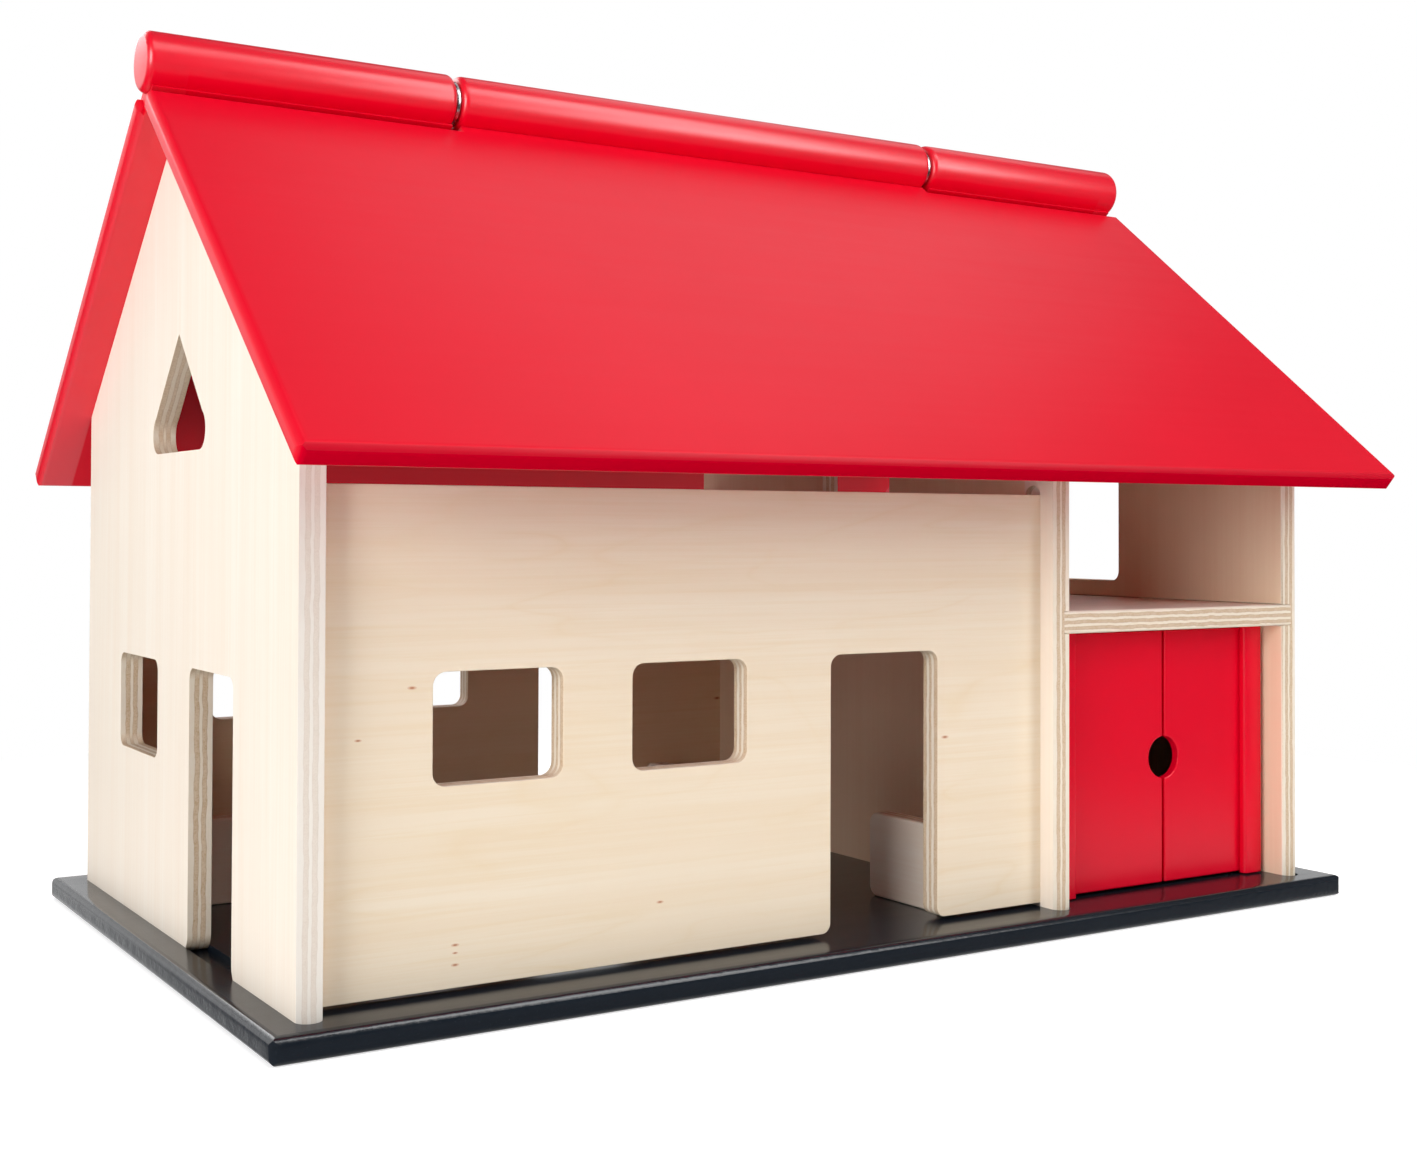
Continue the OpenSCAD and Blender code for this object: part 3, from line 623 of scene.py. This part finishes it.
def loft_edge(mid, along, normals):
    """Only the front edge of the loft floor is free."""
    return PANEL_EDGE if mid[1] - HOUSE[1] < TOUCH and abs(along[0]) > ALONG else 0.0


def knots_on(*places):
    """(x, z, length) places on a panel, measured in the house, as places in the frame."""
    return [(x + HOUSE[0], z + HOUSE[2], size) for x, z, size in places]


gable_ply = plywood("birch_plywood_left_gable", "left_gable", "X", "Z", 1.7, inner=(1,), edge_light=0.6)
right_ply = plywood("birch_plywood_right_gable", "right_gable", "X", "Z", 5.2, inner=(-1,))
bay_ply = plywood("birch_plywood_cross_wall", "partition_wall", "X", "Z", 9.4, inner=(-1, 1),
                  inner_from=HOUSE[1] + PANEL_FRONT + WALL)
front_ply = plywood("birch_plywood_front_panel", "front_wall", "Y", "X", 3.3, knots_on(
    (53.5, 131.3, 4.5), (29.5, 110.4, 3.5), (74, 20.4, 4), (74, 17, 3), (74, 11.9, 4), (176.1, 27.7, 4),
    (344.9, 93.2, 5)), YELLOW_VENEER, 0.4, inner=(1,))
back_ply = plywood("birch_plywood_back_panel", "back_wall", "Y", "X", 7.8, knots_on((407.6, 84.3, 6)),
                   YELLOW_VENEER, 0.4, inner=(-1,))
loft_ply = plywood("birch_plywood_loft", "loft_floor", "Z", "X", 2.6, limits=SEVEN_PLIES, inner=(-1,))
stall_x_ply = plywood("birch_plywood_stall_boards", "front_stall_board", "X", "Y", 6.1)
stall_y_ply = plywood("birch_plywood_left_stall", "left_stall_board", "Y", "X", 8.3)

broken("left_gable", "left_gable_board", gable_ply, upright_board(0, WALL))
broken("right_gable", "right_gable_board", right_ply, upright_board(RIGHT, RIGHT + WALL))
broken("partition_wall", "cross_wall_board", bay_ply, upright_board(BAY, BAY + WALL))
broken("front_wall", "front_panel_board", front_ply, panel_board(PANEL_FRONT))
broken("back_wall", "back_panel_board", back_ply, panel_board(PANEL_BACK))
broken("stable_back_wall", "stable_back_board", back_ply, panel_board(PANEL_BACK))
broken("loft_floor", "loft_board", loft_ply, loft_edge)
broken("front_stall_board", "front_stall_board_sanded", stall_x_ply, evenly(PANEL_EDGE))
broken("back_stall_board", "back_stall_board_sanded", stall_x_ply, evenly(PANEL_EDGE))
broken("left_stall_board", "left_stall_board_sanded", stall_y_ply, evenly(PANEL_EDGE))

# %% [markdown]
# ## Roof boards and doors
#
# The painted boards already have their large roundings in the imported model, so only a small break
# is left to make. The bars were polished more than the boards, and the doors, which are small and
# often touched, have the smoothest coat of all, with no grain showing through.

# %% Roof and doors
ROOF_BREAK, LEAF_BREAK = 0.6, 0.9  # in mm
EAVE_Y, EAVE_Z = 0.92, -0.38  # where the rounded edge at the eaves looks
front_red = red_lacquer("satin_red_lacquer_front_roof", "X", 2.0, eave=(0, -EAVE_Y, EAVE_Z), below=MISTED)
rear_red = red_lacquer("satin_red_lacquer_rear_roof", "X", 4.0, eave=(0, EAVE_Y, EAVE_Z), below=0.7)
bar_red = red_lacquer("satin_red_lacquer_bars", "X", 5.0, rough=0.3, specular=0.85, telegraph=0.03)
door_red = red_lacquer("satin_red_lacquer_doors", "Z", 7.0, deep="E20026", colour="EC0029", rough=0.26,
                       specular=0.29, telegraph=0.0)

for node, red in (("front_roof_panel", front_red), ("rear_roof_panel", rear_red)):
    broken(node, node + "_lacquered", red, evenly(ROOF_BREAK), 2)
for side in ("left_door", "right_door"):
    broken(side + "_leaf", side + "_leaf_lacquered", door_red, evenly(LEAF_BREAK), 3)
for side in ("left_door", "right_door"):
    broken(side + "_stile", side + "_stile_lacquered", door_red, evenly(ROOF_BREAK), 2)

# %% [markdown]
# ## Bars and washers turned on the lathe
#
# The three ridge bars and the two washers are turned pieces, so each is a profile carried round the
# axis of the ridge: a row of (place along the ridge, radius) pairs, written in the order in which a
# lathe tool would follow them. This keeps the rounded ends truly round, where a cylinder from
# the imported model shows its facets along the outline.

# %% Surfaces of revolution about the ridge
bar_low, bar_high = (np.array(c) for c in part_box("middle_ridge_knuckle"))
RIDGE_Y, RIDGE_Z = ((bar_low + bar_high) / 2)[1:]
BAR_R = (bar_high[2] - bar_low[2]) / 2
ROD_LOW, ROD_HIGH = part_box("ridge_rod")
ROD_PLAY = 0.05 * MM
BORE_R = (ROD_HIGH[2] - ROD_LOW[2]) / 2 + ROD_PLAY
BAR_END = 3.5 * MM  # rounding of a bar's ends
WASHER_LOW, WASHER_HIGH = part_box("ridge_washers")
WASHER_R = (WASHER_HIGH[2] - WASHER_LOW[2]) / 2
WASHER_T = 2.0 * MM
WASHER_BREAK = 0.3 * MM
TURNS = 144  # facets round the axis
TURNED_SHARP = math.radians(30.0)
QUARTER = math.pi / 2


def arc(x, r, radius, start, stop, steps=9):
    """Points of a quarter round about (x, r): (x + radius cos a, r + radius sin a) as a goes from start
    to stop."""
    a = np.linspace(start, stop, steps)
    return np.stack([x + radius * np.cos(a), r + radius * np.sin(a)], axis=1)


def turned(profile):
    """Vertices and faces of a closed turned shape. Point i of the profile (x, r) at angle a is
    (x, RIDGE_Y + r cos a, RIDGE_Z + r sin a), and neighbouring points and angles share a face."""
    n = len(profile)
    a = np.linspace(0, 4 * QUARTER, TURNS, endpoint=False)
    x, r = profile[:, 0][:, None], profile[:, 1][:, None]
    grid = np.stack(np.broadcast_arrays(x, RIDGE_Y + r * np.cos(a), RIDGE_Z + r * np.sin(a)), axis=-1)
    i, j = np.meshgrid(np.arange(n), np.arange(TURNS), indexing="ij")
    k, m = (i + 1) % n, (j + 1) % TURNS
    faces = np.stack([i * TURNS + j, k * TURNS + j, k * TURNS + m, i * TURNS + m], axis=-1)
    return grid.reshape(-1, 3), faces.reshape(-1, 4)


def turned_piece(name, node, shapes, material):
    """One object made of one or more turned shapes, with its poles closed and its faces outwards."""
    starts = np.cumsum([0] + [len(grid) for grid, quads in shapes])
    points = np.concatenate([grid for grid, quads in shapes])
    faces = np.concatenate([quads + start for (grid, quads), start in zip(shapes, starts)])
    mesh = bpy.data.meshes.new(name)
    mesh.from_pydata(points.tolist(), [], faces.tolist())
    b = bmesh.new()
    b.from_mesh(mesh)
    bmesh.ops.remove_doubles(b, verts=b.verts, dist=1e-7)
    bmesh.ops.recalc_face_normals(b, faces=b.faces)
    for f in b.faces:
        f.smooth = True
    b.to_mesh(mesh)
    b.free()
    mesh.set_sharp_from_angle(angle=TURNED_SHARP)
    mesh.materials.append(material)
    piece = bpy.data.objects.new(name, mesh)
    bpy.context.scene.collection.objects.link(piece)
    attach(piece, BODY_OF[node])
    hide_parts(node)
    print(name, len(mesh.vertices), "vertices")
    return piece


def rim(x0, x1, radius, edge, steps):
    """The outside of a turned piece from its left face over both rounded edges to its right face."""
    return np.concatenate([arc(x0 + edge, radius - edge, edge, 2 * QUARTER, QUARTER, steps),
                           arc(x1 - edge, radius - edge, edge, QUARTER, 0, steps)])


for side in ("left", "middle", "right"):
    node = side + "_ridge_knuckle"
    x0, x1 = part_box(node)[0][0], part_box(node)[1][0]
    outside = rim(x0, x1, BAR_R, BAR_END, 9)
    if side == "middle":
        profile = np.concatenate([[(x0, BORE_R)], outside, [(x1, BORE_R)]])
    elif side == "left":
        blind = [(x1, BORE_R), (ROD_LOW[0], BORE_R), (ROD_LOW[0], 0)]
        profile = np.concatenate([[(x0, 0)], outside, blind])
    else:
        blind = [(ROD_HIGH[0], 0), (ROD_HIGH[0], BORE_R), (x0, BORE_R)]
        profile = np.concatenate([blind, outside, [(x1, 0)]])
    turned_piece(node + "_turned", node, [turned(profile)], bar_red)


def washer(x0, x1):
    """Profile of a flat washer with broken rims, starting and ending in its bore."""
    return np.concatenate([[(x0, BORE_R)], rim(x0, x1, WASHER_R, WASHER_BREAK, 4), [(x1, BORE_R)]])


# %% [markdown]
# ## Base board, washers and small metal
#
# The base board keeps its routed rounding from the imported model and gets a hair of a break. The
# rod, the pins, the screws and the dowels are hidden or nearly so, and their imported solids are
# good as they are: they only get their material.

# %% Base board and metal
BASE_BREAK = 0.4  # in mm
steel = zinc_steel("bright_zinc_steel")
beech = bare_beech("bare_beech")
broken("base_board", "base_board_lacquered", black_lacquer("blue_black_lacquer"), evenly(BASE_BREAK), 2)
washers = [turned(washer(x, x + WASHER_T)) for x in (WASHER_LOW[0], WASHER_HIGH[0] - WASHER_T)]
turned_piece("ridge_washers_turned", "ridge_washers", washers, steel)
for node in ("ridge_rod", "left_door_pins", "right_door_pins", "base_screws", "rear_roof_dowels"):
    mesh = bpy.data.objects[node].data
    mesh.materials.clear()
    mesh.materials.append(beech if node == "rear_roof_dowels" else steel)
print("small pieces have their material")

# %% [markdown]
# ## Light
#
# A large soft lamp stands to the left of the camera and lights the gable. Two at the front right
# light the front panel, and the tall one of them draws the long highlight on the ridge bars. One
# above and behind puts the broad sheen on the roof, and one behind keeps the rear side readable.

# %% Soft lamps


def lamp(name, place, aim, size, power):
    """A rectangular area lamp at place, turned to face aim, in metres and watts."""
    data = bpy.data.lights.new(name, "AREA")
    data.shape, data.size, data.size_y = "RECTANGLE", size[0], size[1]
    data.energy = power
    o = bpy.data.objects.new(name, data)
    z = np.array(place, float) - np.array(aim, float)
    z /= np.linalg.norm(z)
    x = np.cross([0, 0, 1.0], z)
    x /= np.linalg.norm(x)
    m = np.eye(4)
    m[:3, 0], m[:3, 1], m[:3, 2], m[:3, 3] = x, np.cross(z, x), z, place
    o.matrix_world = Matrix(m.tolist())
    bpy.context.scene.collection.objects.link(o)


lamp("key_left", (-2.3, -1.0, 0.8), (-0.1, 0, 0.2), (1.4, 1.4), 45)
lamp("front_right_strip", (1.05, -1.45, 1.65), (0.0, 0, 0.25), (0.75, 2.0), 23)
lamp("front_right_low", (1.2, -2.1, 0.85), (0.0, 0, 0.18), (1.0, 0.9), 9)
lamp("top_front", (-0.3, -1.3, 2.2), (0.0, 0, 0.3), (1.2, 1.2), 9)
lamp("overhead", (0.92, 0.55, 1.85), (0.05, 0, 0.3), (1.2, 1.2), 3.4)
lamp("rear_fill", (-0.6, 2.3, 1.7), (0.0, 0.1, 0.2), (1.6, 1.2), 26)
bpy.context.scene.view_settings.view_transform = "Standard"

# %% [markdown]
# ## White surround and pale floor
#
# The barn stands on a white sweep. The world is a dim studio to the light and plain white to the
# camera, and shiny things mirror a white backdrop that stands behind the barn up to some height.
# The floor is a real pale floor to the light, so it keeps the soft shadow and throws light up
# under the eaves. To the camera it is lifted, and turns into the white of the surround farther
# away. Shiny things mirror its white part, which ends where the sweep of paper ends.

# %% World
WHITE = (1, 1, 1, 1)
world = bpy.data.worlds.new("white_surround")
bpy.context.scene.world = world
wt = new_tree(world)
path = add(wt, "LightPath").outputs
towards = add(wt, "SeparateXYZ", {0: add(wt, "TexCoord").outputs["Object"]}).outputs
low = add(wt, "MapRange", {"Value": towards[2], "From Min": 0.4, "From Max": 0.2571})
behind = add(wt, "MapRange", {"Value": towards[1], "From Min": -0.318, "From Max": 0.136})
backdrop = add(wt, "Math", {0: low, 1: behind}, operation="MULTIPLY")
mirrored = add(wt, "Math", {0: path["Is Glossy Ray"], 1: backdrop}, operation="MULTIPLY")
seen = add(wt, "Math", {0: path["Is Camera Ray"], 1: path["Is Transmission Ray"]}, operation="MAXIMUM")
seen = add(wt, "Math", {0: mirrored, 1: seen}, operation="MAXIMUM")
soft = add(wt, "Background", {"Color": linear("F4F6FA"), "Strength": 0.1})
white = add(wt, "Background", {"Color": WHITE, "Strength": 1.0})
add(wt, "OutputWorld", {"Surface": add(wt, "MixShader", {0: seen, 1: soft, 2: white})})
print("world", world.name)

# %% Floor
FLOOR_HALF = 30.0
floor_mesh = bpy.data.meshes.new("floor")
corners = [(-FLOOR_HALF, -FLOOR_HALF, 0), (FLOOR_HALF, -FLOOR_HALF, 0),
           (FLOOR_HALF, FLOOR_HALF, 0), (-FLOOR_HALF, FLOOR_HALF, 0)]
floor_mesh.from_pydata(corners, [], [(0, 1, 2, 3)])
floor = bpy.data.objects.new("floor", floor_mesh)
bpy.context.scene.collection.objects.link(floor)
floor_mat = bpy.data.materials.new("pale_floor")
ft = new_tree(floor_mat)
path = add(ft, "LightPath").outputs
spot = add(ft, "TexCoord").outputs["Object"]
away = add(ft, "VectorMath", {0: spot}, operation="LENGTH").outputs["Value"]
paper = add(ft, "BsdfPrincipled", {"Base Color": linear("EDEDED"), "Roughness": 0.9})
lifted = add(ft, "AddShader", {0: paper, 1: add(ft, "Emission", {"Color": WHITE, "Strength": 0.6})})
far = add(ft, "MapRange", {"Value": away, "From Min": 0.409, "From Max": 0.864})
shown = add(ft, "MixShader", {0: far, 1: lifted, 2: add(ft, "Emission", {"Color": WHITE, "Strength": 1.0})})
seen = add(ft, "Math", {0: path["Is Camera Ray"], 1: path["Is Transmission Ray"]}, operation="MAXIMUM")
direct = add(ft, "MixShader", {0: seen, 1: paper, 2: shown})
sweep = add(ft, "MapRange", {"Value": away, "From Min": 0.5, "From Max": 0.75, "To Min": 1.0,
                             "To Max": 0.03})
mirrored = add(ft, "Emission", {"Color": WHITE, "Strength": sweep})
surface = add(ft, "MixShader", {0: path["Is Glossy Ray"], 1: direct, 2: mirrored})
add(ft, "OutputMaterial", {"Surface": surface})
floor_mesh.materials.append(floor_mat)
print("floor", 2 * FLOOR_HALF, "m wide")
